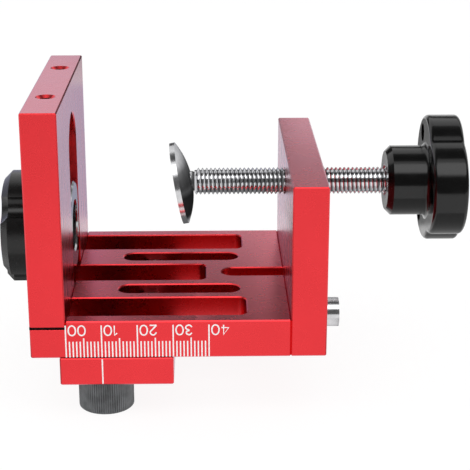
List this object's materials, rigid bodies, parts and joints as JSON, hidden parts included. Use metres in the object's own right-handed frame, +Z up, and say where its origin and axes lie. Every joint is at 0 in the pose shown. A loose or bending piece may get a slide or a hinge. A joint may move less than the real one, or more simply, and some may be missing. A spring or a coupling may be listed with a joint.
{
  "type": "self centering doweling jig",
  "caption": "Bench doweling jig: red plates with a scale, a sliding guide block with drill bushings, a height-adjustable drilling sleeve and a screw clamp with a swivel pad.",
  "frame": {"origin": "corner where the fence's work face meets the base's top face, at mid depth; it is the zero of the scale", "axes": "+X from the fence towards the clamp knob, +Y away from the scale's edge, +Z up, away from the drill bushings"},
  "size_m": [0.1356, 0.08, 0.0896],
  "materials": {
    "red_anodised_aluminium": "satin anodised",
    "dark_hardened_steel": "dark hardened, fine knurl",
    "zinc_plated_steel": "zinc plated",
    "polished_steel": "turned and polished",
    "bright_chrome": "bright plated",
    "black_gloss_plastic": "glossy moulded",
    "black_matte_plastic": "satin moulded",
    "white_paint": "matt enamel in the engraved marks",
    "plain_brass": "machined"
  },
  "bodies": {
    "jig_frame": {"base_plate": "red_anodised_aluminium", "fence_plate": "red_anodised_aluminium", "clamp_plate": "red_anodised_aluminium", "fence_screws": "zinc_plated_steel", "clamp_plate_screws": "zinc_plated_steel"},
    "guide": {"guide_block": "red_anodised_aluminium", "drill_bushing_6mm": "dark_hardened_steel", "drill_bushing_8mm": "dark_hardened_steel", "drill_bushing_10mm": "dark_hardened_steel", "guide_lock_screws": "zinc_plated_steel", "guide_lock_nuts": "zinc_plated_steel"},
    "sleeve": {"cam_sleeve": "polished_steel"},
    "washer": {"lock_washer": "zinc_plated_steel"},
    "nut": {"lock_nut": "black_matte_plastic", "lock_nut_insert": "plain_brass"},
    "tip": {"swivel_tip": "bright_chrome"},
    "screw": {"clamp_screw": "bright_chrome", "knob_body": "black_gloss_plastic", "knob_insert": "zinc_plated_steel"},
    "pad": {"pressure_pad": "bright_chrome"}
  },
  "joints": [
    {"name": "guide_slide", "type": "slide", "parent": "jig_frame", "child": "guide", "axis": [1, 0, 0], "range_m": [-0.0045, 0.021]},
    {"name": "sleeve_height", "type": "slide", "parent": "jig_frame", "child": "sleeve", "axis": [0, 0, 1], "range_m": [-0.004, 0.017]},
    {"name": "washer_play", "type": "slide", "parent": "sleeve", "child": "washer", "axis": [-1, 0, 0], "range_m": [0, 0.0015]},
    {"name": "lock_nut_turn", "type": "hinge", "parent": "washer", "child": "nut", "pos_m": [-0.0157, 0, 0.0153], "axis": [-1, 0, 0], "range_deg": [0, 360]},
    {"name": "clamp_travel", "type": "slide", "parent": "jig_frame", "child": "tip", "axis": [-1, 0, 0], "range_m": [-0.024, 0.0195]},
    {"name": "screw_turn", "type": "hinge", "parent": "tip", "child": "screw", "pos_m": [0.068, 0, 0.0288], "axis": [-1, 0, 0], "range_deg": [-6912, 5616]},
    {"name": "pad_swivel", "type": "hinge", "parent": "tip", "child": "pad", "pos_m": [0.0347, 0, 0.0288], "axis": [0, 1, 0], "range_deg": [0, 20]}
  ],
  "couplings": [
    {"joint": "washer_play", "follows": "lock_nut_turn", "m_per_rad": 0.00023873},
    {"joint": "clamp_travel", "follows": "screw_turn", "m_per_rad": 0.00019894}
  ]
}
